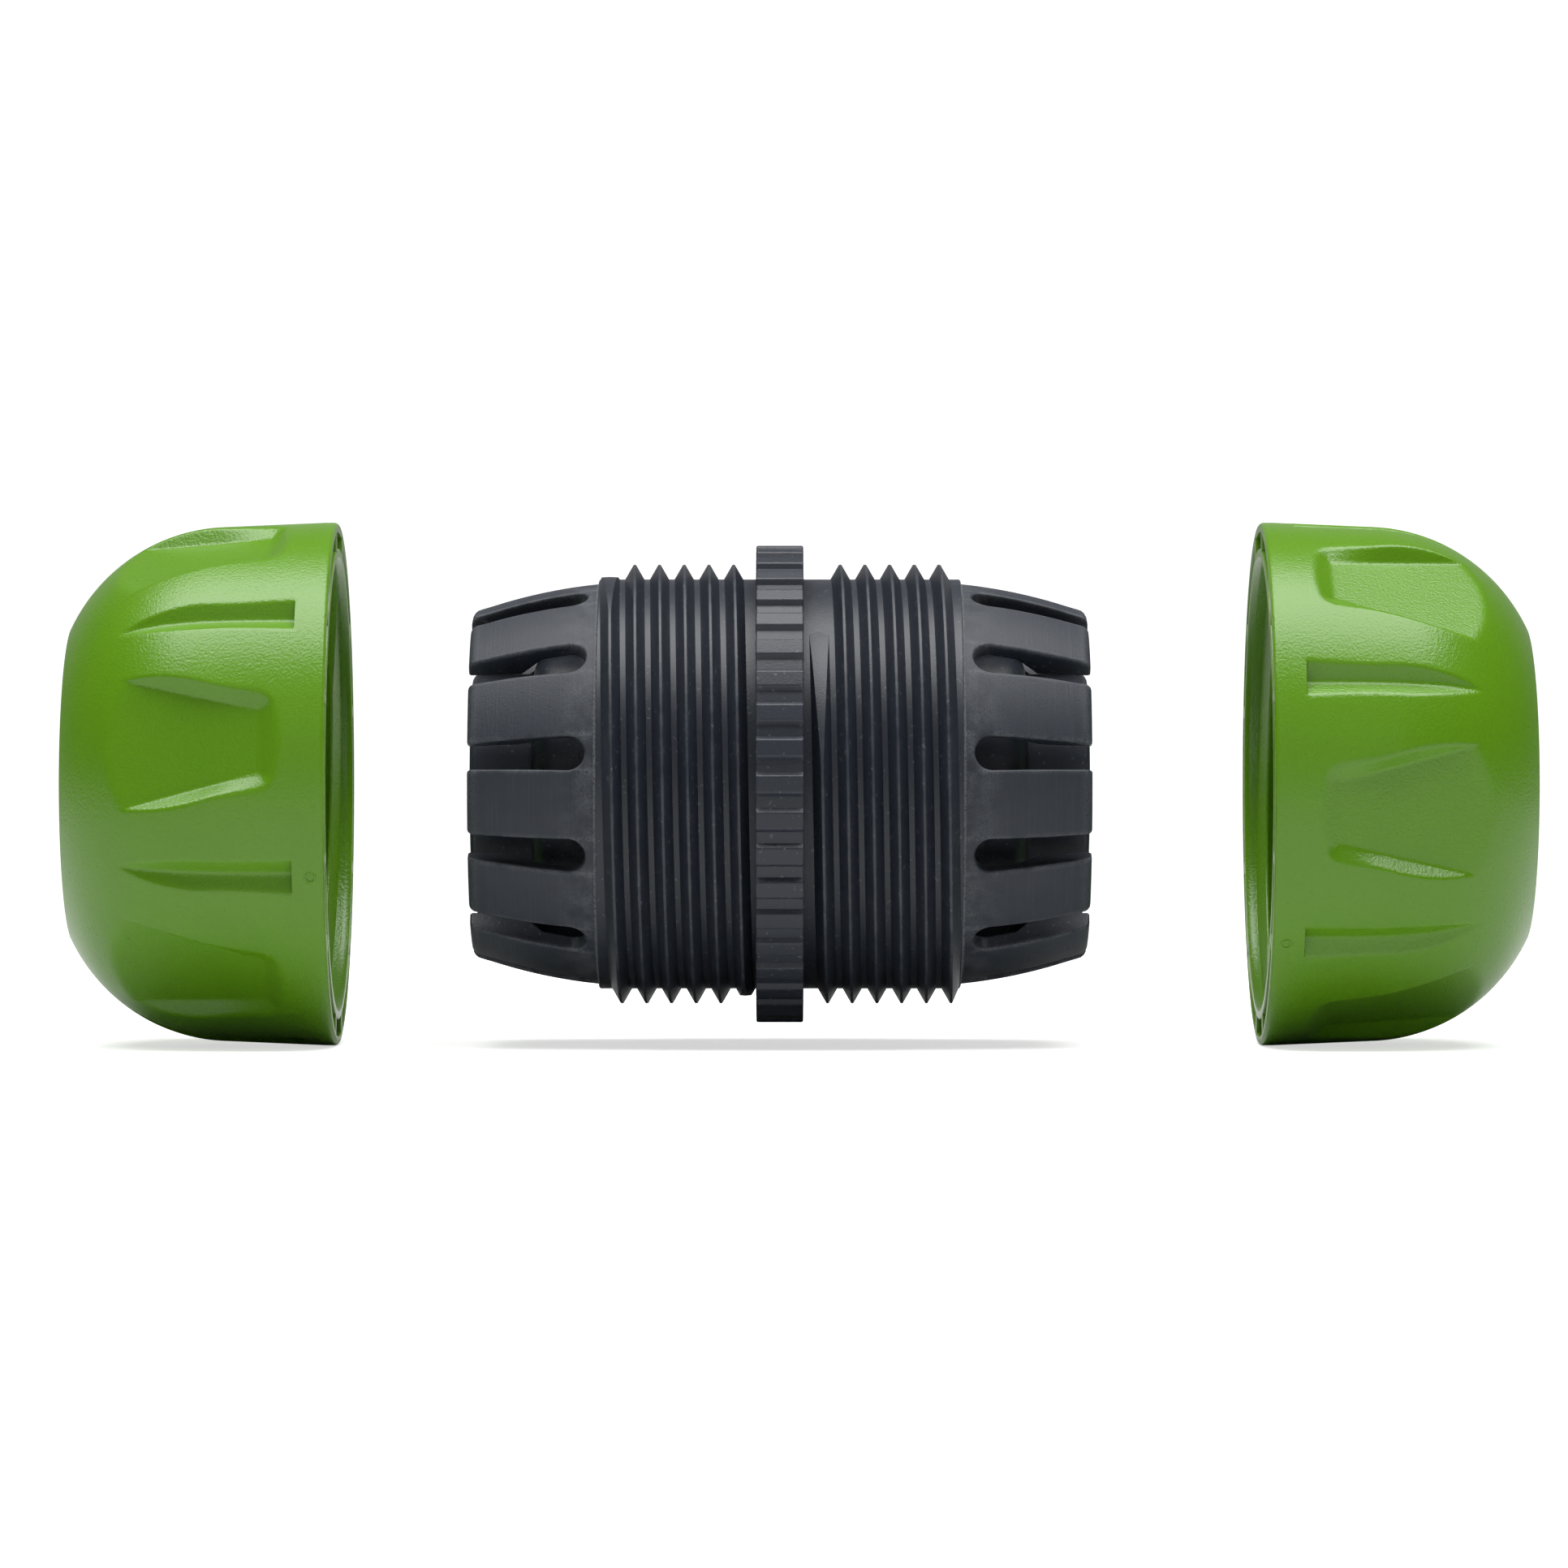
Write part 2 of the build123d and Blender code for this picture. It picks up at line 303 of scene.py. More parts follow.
def rounded(corners, steps=3):
    """The outline through (radius, height, rounding) corners, each rounded one as an arc."""
    outline = []
    for number, (radius, height, rounding) in enumerate(corners):
        corner = Vector((radius, height))
        if not rounding:
            outline.append(corner)
            continue
        before = Vector(corners[number - 1][:2]) - corner
        after = Vector(corners[(number + 1) % len(corners)][:2]) - corner
        half = before.angle(after) / 2
        before.normalize()
        after.normalize()
        centre = corner + (before + after).normalized() * rounding / sin(half)
        start = corner + before * rounding / tan(half) - centre
        end = corner + after * rounding / tan(half) - centre
        for step in range(steps + 1):
            outline.append(centre + start.lerp(end, step / steps).normalized() * rounding)
    return outline


ring = [
    (ring_inside, -ring_half, 0),
    (ring_radius, -ring_half, ring_edge_round),
    (ring_radius, ring_half, ring_edge_round),
    (ring_inside, ring_half, 0),
]
spun(body, rounded(ring), 4 * knurl_ribs)
rib = bmesh.new()
bmesh.ops.create_cube(rib, size=2)
buried_half = rib_foot_half + (rib_foot_half - rib_half) / knurl_depth * rib_bury
for vert in rib.verts:
    top = vert.co.x > 0
    half = rib_half if top else buried_half
    radius = flange_radius if top else ring_radius - rib_bury
    vert.co = (radius, half * vert.co.y, flange_half * vert.co.z)
rib_edges = [edge for edge in rib.edges if max(vert.co.x for vert in edge.verts) > ring_radius]
round_edges(rib, rib_edges, rib_edge_round, 3)
turn_round(rib, knurl_turn + 180 / knurl_ribs)
repeat_round(rib, knurl_ribs)
join(body, rib)

# Outside threads: a right-handed ridge of V section round the sleeve at each end. It rises out
# of the sleeve and sinks back into it within an eighth of a turn.
thread_pitch = 2.0
thread_height = 1.18
thread_half = 0.78
crest_half = 0.1
crest_crown = 0.03
thread_sink = 0.25
fade_turn = 45
thread_steps = 120
faded = -thread_sink / 2
ridge_lean = (thread_half - crest_half) / thread_height
foot_half = thread_half + ridge_lean * thread_sink
sleeve = thread_end - 0.02
right_thread = (3.1, 14.25, -50)
left_thread = (-13.78, -2.64, -96)


def thread_ridge(foot_radius, outward, start, end, turn, limit):
    """A closed ridge swept along a helix from one height to another, faded out at both ends."""
    ridge = bmesh.new()
    section = [(-thread_sink, -foot_half), (1, -1), (1.02, 0), (1, 1), (-thread_sink, foot_half)]
    verts = [ridge.verts.new((0, number, 0)) for number in range(len(section))]
    edges = [ridge.edges.new(pair) for pair in zip(verts, verts[1:] + verts[:1])]
    full_turn = 2 * pi * (end - start) / thread_pitch
    steps = round(full_turn / (2 * pi) * thread_steps)
    bmesh.ops.spin(
        ridge, geom=verts + edges, cent=(0, 0, 0), axis=(0, 0, 1), dvec=(0, 0, 1), angle=full_turn,
        steps=steps
    )
    fade_steps = fade_turn / 360 * thread_steps
    for number, vert in enumerate(ridge.verts):
        step, corner = divmod(number, len(section))
        risen = min(1, step / fade_steps, (steps - step) / fade_steps)
        height = faded + (thread_height - faded) * risen
        rise, side = section[corner]
        if rise > 0:
            side *= max(crest_half, foot_half - ridge_lean * (height + thread_sink))
            rise = height + crest_crown * (rise > 1)
        angle = radians(turn) + full_turn * step / steps
        radius = foot_radius + outward * rise
        level = start + (end - start) * step / steps + side
        vert.co = (radius * cos(angle), radius * sin(angle), min(max(level, limit[0]), limit[1]))
    bmesh.ops.holes_fill(ridge, edges=ridge.edges)
    bmesh.ops.recalc_face_normals(ridge, faces=ridge.faces)
    return ridge


for start, end, turn in (right_thread, left_thread):
    join(body, thread_ridge(core_radius, 1, start, end, turn, (-sleeve, sleeve)))
bmesh.ops.recalc_face_normals(body, faces=body.faces)
lay(body, body_middle, 1)


# Slate finish of the coupling body: satin plastic from a spark-eroded mould, with a fine grain
# that breaks up the sheen. It is rubbed pale where nuts and hands rub it: on the fingers, most near
# their roots, slots and tips, and on the flange. The colour also carries a pale line at the
# fingers' roots, partly worn and partly a painted highlight of the corner there, a painted
# highlight along the crests of the threads, and small pale spots, partly dust and partly painted
# glints of the grain.
class Pattern:
    """A shader socket that takes part in sums and products with numbers and other patterns."""

    def __init__(self, tree, socket):
        self.tree = tree
        self.socket = socket

    def node(self, kind, settings, inputs, output=0):
        """Adds a node with its settings and inputs, and gives back one of its outputs."""
        made = self.tree.nodes.new(kind)
        for name, value in settings.items():
            setattr(made, name, value)
        for name, value in inputs.items():
            if isinstance(value, Pattern):
                self.tree.links.new(value.socket, made.inputs[name])
            else:
                made.inputs[name].default_value = value
        return Pattern(self.tree, made.outputs[output])

    def maths(self, operation, *others):
        return self.node("ShaderNodeMath", {"operation": operation}, dict(enumerate((self, *others))))

    def __add__(self, other):
        return self.maths("ADD", other)

    def __sub__(self, other):
        return self.maths("SUBTRACT", other)

    def __rsub__(self, other):
        return self.node("ShaderNodeMath", {"operation": "SUBTRACT"}, {0: other, 1: self})

    def __mul__(self, other):
        return self.maths("MULTIPLY", other)

    def __truediv__(self, other):
        return self.maths("DIVIDE", other)

    def __abs__(self):
        return self.maths("ABSOLUTE")

    __radd__ = __add__
    __rmul__ = __mul__

    def between(self, low, high):
        """Rises smoothly from 0 to 1 as the pattern goes from low to high."""
        settings = {"interpolation_type": "SMOOTHSTEP"}
        return self.node("ShaderNodeMapRange", settings, {0: self, 1: low, 2: high})

    def blend(self, first, second):
        """A colour that goes from the first to the second as the pattern goes from 0 to 1."""
        settings = {"data_type": "RGBA", "clamp_factor": True}
        return self.node("ShaderNodeMix", settings, {0: self, 6: first, 7: second}, output=2)

    def noise(self, size, detail):
        """Even noise with grains of a size in millimetres, read at this pattern as a place."""
        inputs = {"Vector": self, "Scale": 1 / (size * MM), "Detail": detail}
        return self.node("ShaderNodeTexNoise", {}, inputs)


def plastic(name):
    """A new material, its shader, and the place on the piece with the row's axis at height 0."""
    finish = bpy.data.materials.new(name)
    finish.use_nodes = True
    tree = finish.node_tree
    place = Pattern(tree, tree.nodes.new("ShaderNodeTexCoord").outputs["Object"])
    place = place.node("ShaderNodeMapping", {}, {"Vector": place, "Location": (0, 0, -axis_height)})
    return finish, tree.nodes["Principled BSDF"], place


def axes_of(place):
    """The parts of a place along X, Y and Z, in millimetres."""
    return [place.node("ShaderNodeSeparateXYZ", {}, {0: place}, output=axis) / MM for axis in range(3)]


bump_depth = 0.05
crease = radians(40)


def bumps(height, strength):
    """A normal that follows a pattern of heights."""
    inputs = {"Strength": strength, "Distance": bump_depth * MM, "Height": height}
    return height.node("ShaderNodeBump", {}, inputs)


def connect(shader, **patterns):
    """Links patterns to the shader's inputs of the same names."""
    for name, pattern in patterns.items():
        pattern.tree.links.new(pattern.socket, shader.inputs[name.replace("_", " ")])


def moulding(name, bm, finish):
    """Makes an object of a finished shell. Edges that turn by more than the crease stay crisp."""
    mesh = bpy.data.meshes.new(name)
    bm.to_mesh(mesh)
    bm.free()
    mesh.materials.append(finish)
    mesh.shade_smooth()
    mesh.set_sharp_from_angle(angle=crease)
    piece = bpy.data.objects.new(name, mesh)
    bpy.context.scene.collection.objects.link(piece)
    even = piece.modifiers.new("even_shading", "WEIGHTED_NORMAL")
    even.keep_sharp = True
    return piece


slate = (0.012, 0.016, 0.024, 1)
slate_pale = (0.018, 0.023, 0.035, 1)
slate_rubbed = (0.028, 0.033, 0.044, 1)
# Pale grey of scuffs, also used for the painted highlights and glints.
scuff_and_highlight_grey = (0.17, 0.18, 0.19, 1)
finger_lean = 0.0971
finger_bow = 0.01287
slot_narrowing = 0.036
crest_radius = core_radius + thread_height
patch_sway = 0.4

body_finish, body_shader, at = plastic("slate_plastic")
along, across, up = axes_of(at)
reach = (across * across + up * up).maths("SQRT")
past_sleeve = abs(along - body_middle / MM) - thread_end
grain = at.noise(0.17, detail=2.0)
mottle = at.noise(1.6, detail=4.0)
patches = at.noise(4.5, detail=3.0)
# Small pale spots: partly dust, partly painted glints of the grain.
dust_and_glints = at.noise(0.34, detail=0.0).between(0.755, 0.775)
rings = at.node("ShaderNodeCombineXYZ", {}, {0: along * MM, 1: reach * MM, 2: patches * (patch_sway * MM)})
scratches = rings.noise(0.13, detail=2.0).between(0.50, 0.68)

# Masks for the parts of the body, from how far a place lies past the sleeve and off the axis.
# The fingers' outside falls away by a lean and a bow, and the slots narrow towards the tips.
finger_skin = reach - (root_radius - past_sleeve * finger_lean - past_sleeve * past_sleeve * finger_bow)
on_finger = past_sleeve.between(0.0, 0.1) * finger_skin.between(-0.5, -0.15)
on_flange = reach.between(crest_radius + 0.24, crest_radius + 0.84)
turned = (up * -1).maths("ARCTAN2", across * -1) * (180 / pi) + (360 - slot_turn)
off_slot = turned.maths("PINGPONG", 180 / finger_count) * reach * (pi / 180)
slot_side = off_slot - (slot_radius - past_sleeve * slot_narrowing)
slot_wear = slot_side.between(-0.1, 0.05) - slot_side.between(0.1, 0.55)
# A pale line at the fingers' roots: partly worn, partly a painted highlight of the sharp corner there.
root_line = past_sleeve.between(-0.1, 0.0) - past_sleeve.between(0.06, 0.2)
root_wear = past_sleeve.between(0.0, 0.3) - past_sleeve.between(0.4, 4.0)
tip_wear = past_sleeve.between(finger_length - 1.1, finger_length - 0.3)
# Painted highlight: a pale line along each thread crest, where its rounded top would catch the light.
crest_highlight = reach.between(crest_radius - 0.31, crest_radius - 0.06)
crest_highlight = crest_highlight * (1 - reach.between(crest_radius + 0.04, crest_radius + 0.14))

rubbed = on_finger * (mottle * 0.3 + scratches * 0.35) + on_flange * grain * 0.2
# The pale marks together: real scuffs with the painted highlights and glints, blended towards the pale grey.
wear_and_highlights = root_line * 0.8 + root_wear * mottle.between(0.3, 0.7) * 0.3 + tip_wear * on_finger * 0.16
wear_and_highlights = wear_and_highlights + slot_wear * on_finger * mottle.between(0.3, 0.6) * 0.26
wear_and_highlights = wear_and_highlights + crest_highlight * mottle.between(0.3, 0.7) * 0.16 + dust_and_glints * (1 - on_finger) * 0.35
wear_and_highlights = wear_and_highlights * grain.between(0.25, 0.6)
colour = (mottle * 0.6 + grain * 0.4).blend(slate, slate_pale)
colour = wear_and_highlights.blend(rubbed.blend(colour, slate_rubbed), scuff_and_highlight_grey)
relief = grain * 0.75 + mottle * 0.15 + scratches * on_finger * 0.2
sheen = 0.4 + grain * 0.08 + on_finger * 0.14 + wear_and_highlights * 0.3
connect(body_shader, Base_Color=colour, Roughness=sheen, Normal=bumps(relief, 0.5))
coupling = moulding("coupling_moulding", body, body_finish)
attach(coupling, "body")
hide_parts("coupling_body")

# Grip nuts: two of one moulding in green plastic. Outside they taper to a rounded shoulder with
# six dished recesses and six V grooves; inside are a thread, a seat for the fingers and a hole
# for the hose. Pockets in the rim keep its wall thin.
nut_length = 21.5
rim_radius = 21.17
rim_band = 1.0
rim_round = 0.35
taper = radians(2.44)
taper_length = 9.3
hole_radius = 12.3
hole_edge = 0.5
hole_edge_points = ((0.15, 0.3), (0, 0.6))
mouth_radius = 18.4
mouth_lead = 0.6
mouth_edge = (0.08, 0.1)
bore_wall = 18.02
bore_row = 5
seat_height = 19.5
seat_gap = 0.25
seat_steps = 8
pocket_inside = 19.08
pocket_outside = 20.43
pocket_depth = 2.1
pocket_turn = 21.6
pocket_short_half = 11
pocket_rib_half = 1.25
pocket_edge_round = 0.13
pocket_edge_turn = radians(70)
grip_count = 6
grip_step = 2 * pi / grip_count
half_grip = pi / grip_count

taper_end = rim_radius - (taper_length - rim_band) * tan(taper)
chord = Vector((hole_radius + hole_edge - taper_end, nut_length - taper_length))
inward = Vector((-cos(taper), -sin(taper)))
shoulder_radius = chord.length_squared / (2 * chord.dot(inward))
shoulder_x = taper_end + inward.x * shoulder_radius
shoulder_y = taper_length + inward.y * shoulder_radius
shoulder_end = atan2(nut_length - shoulder_y, hole_radius + hole_edge - shoulder_x)

# Grip shapes, as the depth that a cut takes off the skin at a place on the nut. The recesses'
# side walls lean out most at their rim end, and the grooves' bottoms dive to the shoulder.
recess_floor = 20.05
recess_start = 5.07
recess_slope = radians(9.9)
recess_half = 2.5
recess_spread = radians(13.4)
recess_side = 1.1
recess_side_more = 1.2
recess_side_reach = 4.5
recess_rim = tan(radians(65))
recess_foot_round = 0.14
recess_land_round = 0.22
groove_floor = 20.2
groove_start = 2.6
groove_end = 16.2
groove_drop = 1.58
groove_wall = 0.05
groove_side = tan(radians(57))
groove_foot_round = 0.22
groove_land_round = 0.08


def eased(depth, round_off):
    """The positive part of a depth, with the change from 0 rounded off."""
    if depth <= -round_off:
        return 0
    if depth >= round_off:
        return depth
    return (depth + round_off) ** 2 / (4 * round_off)


def over_recess(out, height):
    """How far a place stands above the recess's floor, and how far along the floor it lies."""
    over = (out - recess_floor) * cos(recess_slope) + (height - recess_start) * sin(recess_slope)
    run = (height - recess_start) * cos(recess_slope) - (out - recess_floor) * sin(recess_slope)
    return over, run


def recess_lean(run):
    """How far a recess's side wall leans out for its rise."""
    return recess_side + recess_side_more * min(1, max(0, 1 - run / recess_side_reach)) ** 2


def over_groove(out, height):
    """How far a place stands above the bottom of the groove."""
    share = (height - groove_start) / (groove_end - groove_start)
    return out - groove_floor + groove_drop * share**3.5


def recess_depth(out, side, height):
    """How far a recess takes the skin back, square to its sloping floor."""
    over, run = over_recess(out, height)
    if over < -recess_land_round:
        return 0
    beyond = (abs(side) - recess_half - run * tan(recess_spread)) * cos(recess_spread)
    side_wall = eased(beyond / recess_lean(run), recess_foot_round)
    rim_wall = eased(-run / recess_rim, recess_foot_round)
    return eased(over - (side_wall**3 + rim_wall**3) ** (1 / 3), recess_land_round)


def groove_depth(out, side, height):
    """How far a groove takes the skin back."""
    if height < groove_start:
        return 0
    wall = (sqrt(side * side + groove_foot_round**2) - groove_foot_round) / groove_side
    return eased(over_groove(out, height) - wall, groove_land_round)


# Columns of the skin's mesh follow the foot and the land edge of the recess and the groove's
# edge, so that each runs along a line of the mesh.
foot_column = 18
land_column = 30
groove_column = 47
last_column = 60
widest_foot = radians(17)
widest_land = radians(21.5)
widest_groove = 0.12
least_stand = 0.2
follow_height = 1.2


def column_turn(column, radius, height):
    """Turn from the middle of a recess of one of the sixty columns up to a groove's middle."""
    even = half_grip * column / last_column
    share = min(1, max(0, (height - rim_band) / follow_height))
    if not share:
        return even
    over, run = over_recess(radius, height)
    foot = recess_half + run * tan(recess_spread)
    land = foot
    for repeat in range(4):
        sag = radius - sqrt(radius**2 - min(land, 0.9 * radius) ** 2)
        land = foot + max(0, over - sag * cos(recess_slope)) * recess_lean(run) / cos(recess_spread)
    foot = min(asin(foot / radius), widest_foot)
    land = min(max(asin(min(land / radius, 1)), foot + radians(1)), widest_land)
    stand = max(over_groove(radius, max(height, groove_start)), least_stand)
    groove = half_grip - asin(min(stand * groove_side / radius, widest_groove))
    if column <= foot_column:
        followed = foot * (1 - (1 - column / foot_column) ** 1.5)
    elif column <= land_column:
        followed = foot + (land - foot) * (column - foot_column) / (land_column - foot_column)
    elif column <= groove_column:
        part = (column - land_column) / (groove_column - land_column)
        part = (part + part * part * (3 - 2 * part)) / 2
        followed = land + (groove - land) * part
    else:
        followed = groove + (half_grip - groove) * (column - groove_column) / (last_column - groove_column)
    return even + (followed - even) * share


# Rows of the skin's mesh lie closest where the recesses and grooves end towards the rim.
rim_leans = (0, 22, 45, 68, 90)
plain_rows = (0.7, rim_band, 1.4, 1.8, 2.2)
groove_rows = (groove_start - groove_wall, groove_start + groove_wall, 2.9)
close_rows = (3.15, 0.13, 19)
wider_rows = (5.7, 0.36, 10)
fine_share = 0.72
fine_steps = 32
coarse_steps = 8


def nut_skin():
    """The outside of a nut before its grips are cut, from the rim to the hose hole."""
    skin = []
    for lean in map(radians, rim_leans):
        skin.append((rim_radius - rim_round * (1 - sin(lean)), rim_round * (1 - cos(lean))))
    heights = [*plain_rows, *groove_rows]
    for first, spacing, count in (close_rows, wider_rows):
        heights += [first + spacing * step for step in range(count)]
    skin += [(rim_radius - max(0, height - rim_band) * tan(taper), height) for height in heights]
    bend = shoulder_end - taper
    leans = [taper + fine_share * bend * step / fine_steps for step in range(fine_steps)]
    for step in range(coarse_steps + 1):
        leans.append(taper + bend * (fine_share + (1 - fine_share) * step / coarse_steps))
    for lean in leans:
        skin.append((shoulder_x + shoulder_radius * cos(lean), shoulder_y + shoulder_radius * sin(lean)))
    return skin


def nut_hollow():
    """The inside of a nut: hose hole, seat for the fingers, bore and mouth, and the rim's foot."""
    seat_root = (root_radius + seat_gap, seat_height - finger_length)
    seat_bulge = (bulge_radius + seat_gap, seat_height - finger_length / 2)
    seat_nose = (finger_nose[0] + seat_gap, seat_height - nose_round)
    seat_x, seat_y, seat_curve = circle_through(seat_root, seat_bulge, seat_nose)
    hollow = [(hole_radius + out, nut_length - down) for out, down in hole_edge_points]
    hollow += [(hole_radius, seat_height), (seat_nose[0] - nose_round, seat_height), seat_nose]
    for step in range(1, seat_steps + 1):
        height = seat_nose[1] + (seat_root[1] - seat_nose[1]) * step / seat_steps
        hollow.append((seat_x + sqrt(seat_curve**2 - (height - seat_y) ** 2), height))
    hollow += [(bore_wall, height) for height in (seat_root[1], bore_row, mouth_lead)]
    hollow += [(mouth_radius - mouth_edge[0], mouth_edge[1])]
    hollow += [(radius, 0) for radius in (mouth_radius, pocket_inside, pocket_outside)]
    return hollow, seat_root[1]


def corners_of(geometry):
    """The corners in an operator's result."""
    return [part for part in geometry if isinstance(part, bmesh.types.BMVert)]


def sink_pockets(nut):
    """Sinks the pockets into the rim, a short one and a long one by turns, ribs between them."""
    group = degrees(grip_step)
    floors = []
    for face in nut.faces:
        middle = face.calc_center_median()
        if middle.z > touching or not pocket_inside < hypot(middle.x, middle.y) < pocket_outside:
            continue
        turn = (degrees(atan2(middle.y, middle.x)) - pocket_turn + group / 2) % group - group / 2
        if abs(abs(turn) - pocket_short_half) > pocket_rib_half:
            floors.append(face)
    sunk = bmesh.ops.extrude_face_region(nut, geom=floors)["geom"]
    bmesh.ops.delete(nut, geom=floors, context="FACES")
    bmesh.ops.translate(nut, verts=corners_of(sunk), vec=(0, 0, pocket_depth))
    bmesh.ops.recalc_face_normals(nut, faces=nut.faces)
    at_foot = [edge for edge in nut.edges if max(vert.co.z for vert in edge.verts) < touching]
    pocket_edges = [
        edge for edge in at_foot if edge.is_manifold and edge.calc_face_angle() > pocket_edge_turn
    ]
    round_edges(nut, pocket_edges, pocket_edge_round, 2)


# Gate mark: the small ring left on the rim band where the plastic was let into the mould
gate_height = 1.1
gate_ring = [(0.26, -0.2), (0.26, 0.0), (0.32, 0.07), (0.42, 0.07), (0.5, -0.01), (0.5, -0.2)]
gate_columns = 24


def gate_mark(turn):
    """The ring, standing out of the rim band."""
    mark = bmesh.new()
    spun(mark, gate_ring, gate_columns)
    foot = rim_radius - (gate_height - rim_band) * tan(taper)
    spot = Matrix.Translation((foot, 0, gate_height))
    mark.transform(Matrix.Rotation(radians(turn), 4, "Z") @ spot @ Matrix.Rotation(pi / 2, 4, "Y"))
    return mark


# Inside thread: it starts behind the mouth and stops short of the seat.
inner_thread_start = 1.3
inner_thread_short = 0.6
inner_thread_clear = (0.1, 0.4)


def grip_nut(thread_turn, gate_turn):
    """One nut, upright with its rim at the foot."""
    nut = bmesh.new()
    skin = nut_skin()
    hollow, seat_root = nut_hollow()
    outline = [Vector((radius, 0, height)) for radius, height in skin + hollow]
    verts = [nut.verts.new(Matrix.Rotation(-half_grip, 3, "Z") @ point) for point in outline]
    edges = [nut.edges.new(pair) for pair in zip(verts, verts[1:] + verts[:1])]
    columns = 2 * last_column
    bmesh.ops.spin(nut, geom=verts + edges, cent=(0, 0, 0), axis=(0, 0, 1), angle=grip_step, steps=columns)
    for number, vert in enumerate(nut.verts):
        if number % len(outline) >= len(skin):
            continue
        radius = hypot(vert.co.x, vert.co.y)
        height = vert.co.z
        column = round(atan2(vert.co.y, vert.co.x) / half_grip * last_column)
        side = -1 if column < 0 else 1
        turn = column_turn(abs(column), radius, height)
        out, aside = radius * cos(turn), radius * sin(turn)
        depth = recess_depth(out, aside, height)
        off = half_grip - turn
        cut = groove_depth(radius * cos(off), radius * sin(off), height)
        out -= depth * cos(recess_slope) + cut * cos(half_grip)
        vert.co = (out, side * (aside - cut * sin(half_grip)), height - depth * sin(recess_slope))
    repeat_round(nut, grip_count)
    seams = [vert for vert in nut.verts if vert.is_boundary]
    bmesh.ops.remove_doubles(nut, verts=seams, dist=touching)
    bmesh.ops.recalc_face_normals(nut, faces=nut.faces)
    sink_pockets(nut)
    join(nut, gate_mark(gate_turn))
    limit = (mouth_lead + inner_thread_clear[0], seat_root + inner_thread_clear[1])
    thread_stop = seat_root - inner_thread_short
    join(nut, thread_ridge(bore_wall, -1, inner_thread_start, thread_stop, thread_turn, limit))
    bmesh.ops.recalc_face_normals(nut, faces=nut.faces)
    return nut


green = (0.092, 0.245, 0.002, 1)
green_pale = (0.112, 0.282, 0.004, 1)
green_edge = (0.22, 0.40, 0.06, 1)
green_finish, green_shader, at = plastic("green_plastic")
along = axes_of(at)[0]
rim_middle = (left_high.x + right_low.x) / 2 / MM
rim_half = (right_low.x - left_high.x) / 2 / MM
from_rim = abs(along - rim_middle) - rim_half
grain = at.noise(0.22, detail=2.0)
mottle = at.noise(5.0, detail=3.0)
# The rim face and its edge go paler: partly worn, partly a painted highlight along the edge.
rim_edge = 1 - from_rim.between(0.02, 0.16)
colour = (mottle * 0.6 + grain * 0.4).blend(green, green_pale)
colour = (rim_edge * mottle.between(0.3, 0.6) * 0.5).blend(colour, green_edge)
connect(green_shader, Base_Color=colour, Roughness=0.25 + grain * 0.08, Normal=bumps(grain, 0.75))

# Each nut's turn about the row's axis, the turn at which its thread starts, so that it meshes
# with the body's thread where the nut is home, and the turn of its gate mark.
nuts = (
    ("left_grip_nut", "left_nut", "left_cap", left_high.x, -1, 9.6, 108.0, -30),
    ("right_grip_nut", "right_nut", "right_cap", right_low.x, 1, 6.6, 85.0, 30),
)
for name, node, carrier, rim, facing, turn, thread_turn, gate_turn in nuts:
    nut = grip_nut(thread_turn - turn, gate_turn)
    lay(nut, rim, facing, turn)
    piece = moulding(name, nut, green_finish)
    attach(piece, carrier)
    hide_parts(node)

# Studio: a white sweep of card that runs from the table up behind the row, lit softly from
# above, with a broad weak panel in front. The camera sees the card clear white, and it throws
# back about half of the light on the pieces.
floor_front = -1.2
floor_back = 0.5
sweep_radius = 0.4
sweep_steps = 16
wall_top = 1.6
sweep_half = 2.0
white = (1, 1, 1, 1)
card_white = (0.86, 0.86, 0.86, 1)
card_bounce = (0.74, 0.74, 0.74, 1)
card_glow = 0.6
sweep = bmesh.new()
profile = [(floor_front, 0), (floor_back, 0)]
for step in range(1, sweep_steps + 1):
    lean = pi / 2 * step / sweep_steps
    profile.append((floor_back + sweep_radius * sin(lean), sweep_radius * (1 - cos(lean))))
profile.append((floor_back + sweep_radius, wall_top))
verts = [sweep.verts.new((-sweep_half, y, z)) for y, z in profile]
edges = [sweep.edges.new(pair) for pair in zip(verts, verts[1:])]
side = bmesh.ops.extrude_edge_only(sweep, edges=edges)["geom"]
bmesh.ops.translate(sweep, verts=corners_of(side), vec=(2 * sweep_half, 0, 0))

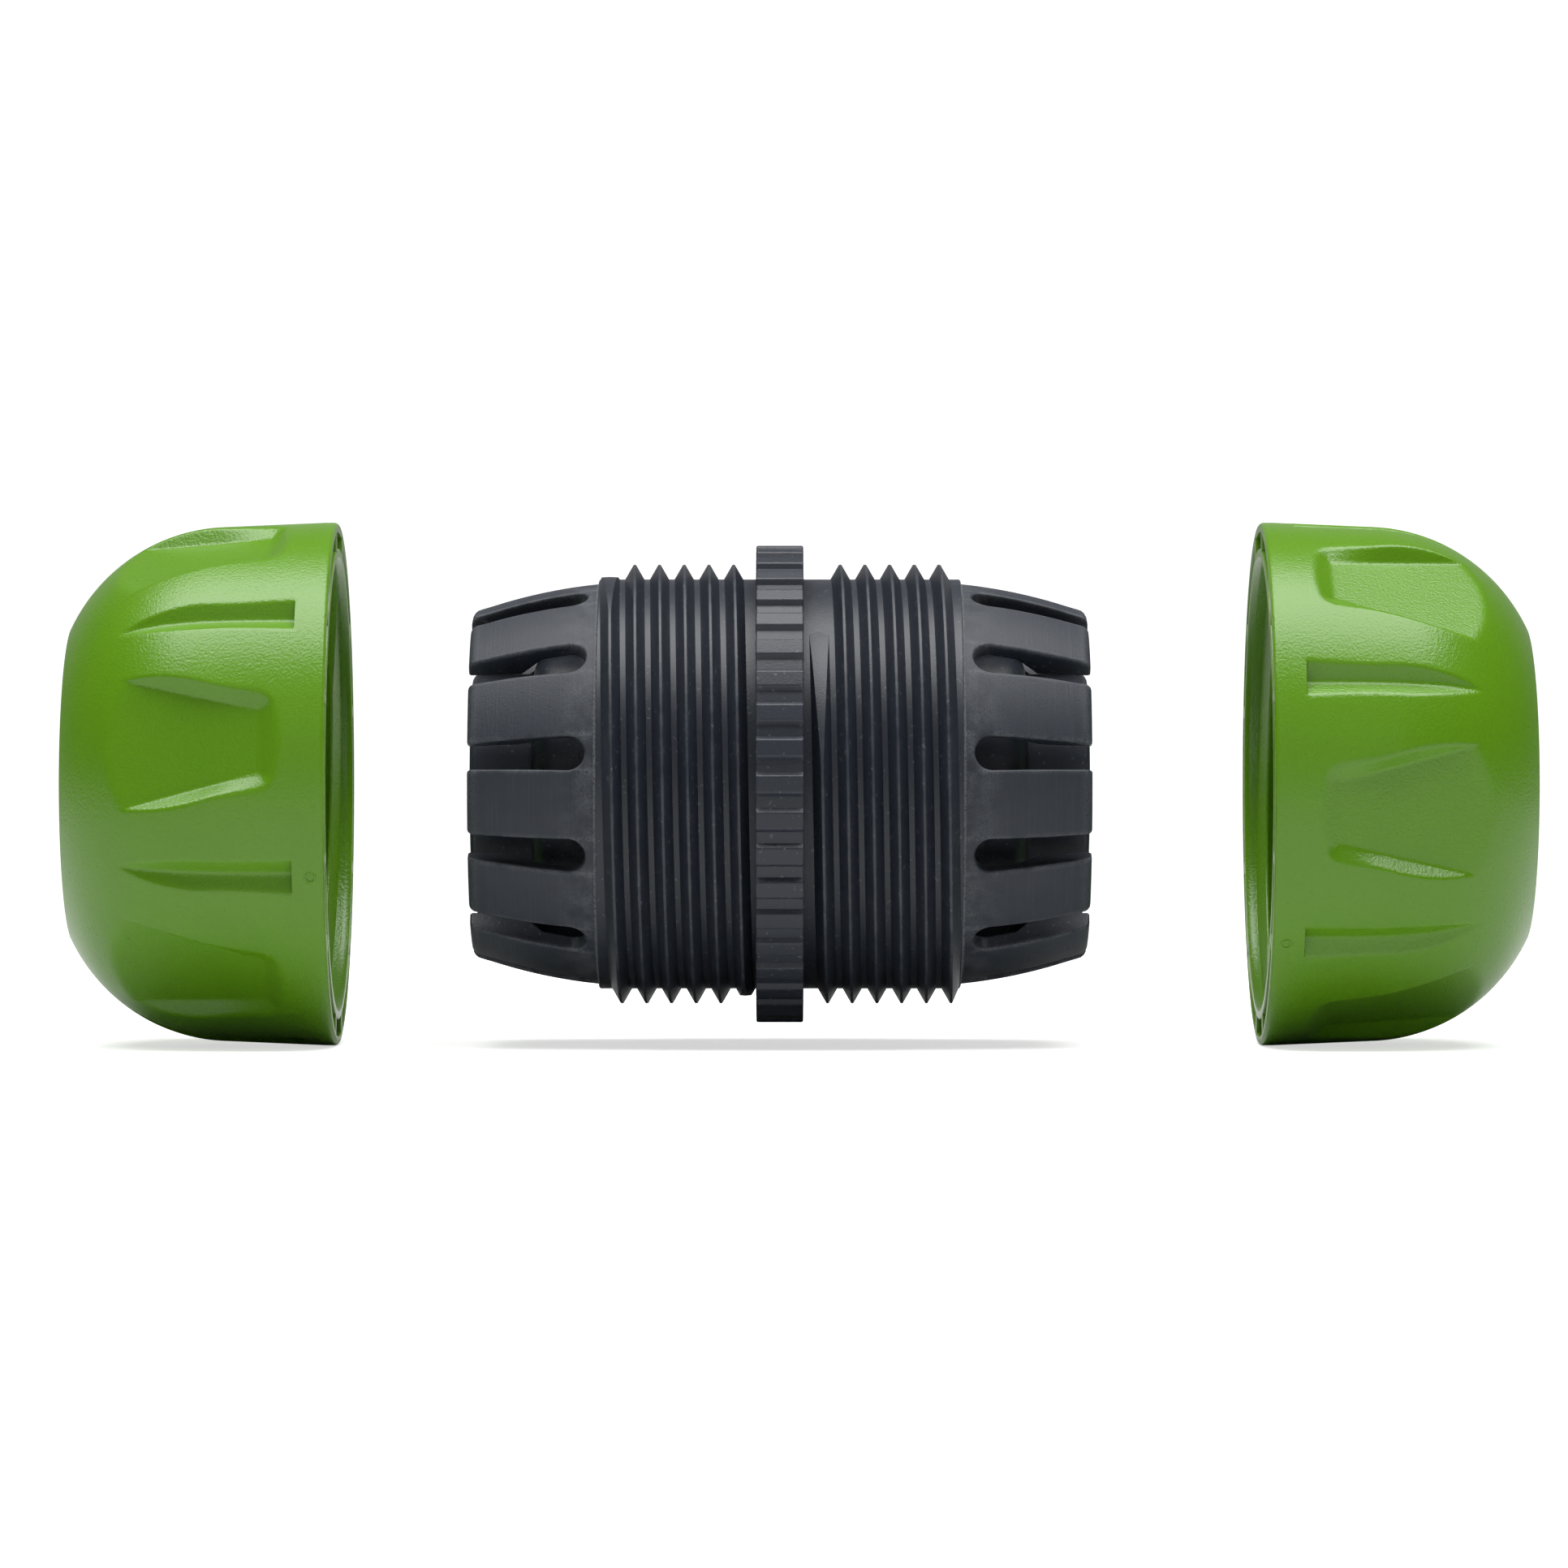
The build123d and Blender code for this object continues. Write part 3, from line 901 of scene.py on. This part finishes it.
card = bpy.data.materials.new("white_card")
card.use_nodes = True
card_nodes = card.node_tree.nodes
card_links = card.node_tree.links
card_shader = card_nodes["Principled BSDF"]
card_shader.inputs["Base Color"].default_value = card_white
card_shader.inputs["Roughness"].default_value = 0.9
card_shader.inputs["Emission Color"].default_value = white
card_shader.inputs["Emission Strength"].default_value = card_glow
bounce = card_nodes.new("ShaderNodeBsdfDiffuse")
bounce.inputs["Color"].default_value = card_bounce
light_path = card_nodes.new("ShaderNodeLightPath")
seen = card_nodes.new("ShaderNodeMixShader")
card_links.new(light_path.outputs["Is Camera Ray"], seen.inputs[0])
card_links.new(bounce.outputs[0], seen.inputs[1])
card_links.new(card_shader.outputs[0], seen.inputs[2])
card_links.new(seen.outputs[0], card_nodes["Material Output"].inputs["Surface"])
sweep_mesh = bpy.data.meshes.new("studio_sweep")
sweep.to_mesh(sweep_mesh)
sweep.free()
sweep_mesh.materials.append(card)
sweep_mesh.shade_smooth()
studio = bpy.data.objects.new("studio_sweep", sweep_mesh)
bpy.context.scene.collection.objects.link(studio)

row_middle = Vector((0, 0, 0.02))


def softbox(name, place, width, depth, power):
    """A soft area light that looks at the row."""
    lamp = bpy.data.lights.new(name, "AREA")
    lamp.shape = "RECTANGLE"
    lamp.size = width
    lamp.size_y = depth
    lamp.energy = power
    light = bpy.data.objects.new(name, lamp)
    light.location = place
    light.rotation_euler = (row_middle - Vector(place)).to_track_quat("-Z", "Y").to_euler()
    bpy.context.scene.collection.objects.link(light)


softbox("overhead", (0, -0.07, 0.6), 0.84, 0.48, 7.3)
softbox("front", (0, -0.9, 0.22), 0.7, 0.9, 0.6)
world = bpy.data.worlds.new("studio")
world.use_nodes = True
glow = world.node_tree.nodes["Background"]
glow.inputs["Color"].default_value = white
glow.inputs["Strength"].default_value = 0.08
bpy.context.scene.world = world
bpy.context.scene.view_settings.view_transform = "Standard"

# Camera: level with the row's axis and square to it, as the photograph was taken.
camera_distance = 0.6
frame_width = 0.1271
camera_x = -0.00121
lens = bpy.data.cameras.new("camera")
lens.sensor_width = 36
lens.lens = lens.sensor_width * camera_distance / frame_width
lens.clip_start = 0.01
lens.clip_end = 20
camera = bpy.data.objects.new("camera", lens)
camera.location = (camera_x, -camera_distance, axis_height)
camera.rotation_euler = (pi / 2, 0, 0)
bpy.context.scene.collection.objects.link(camera)
bpy.context.scene.camera = camera
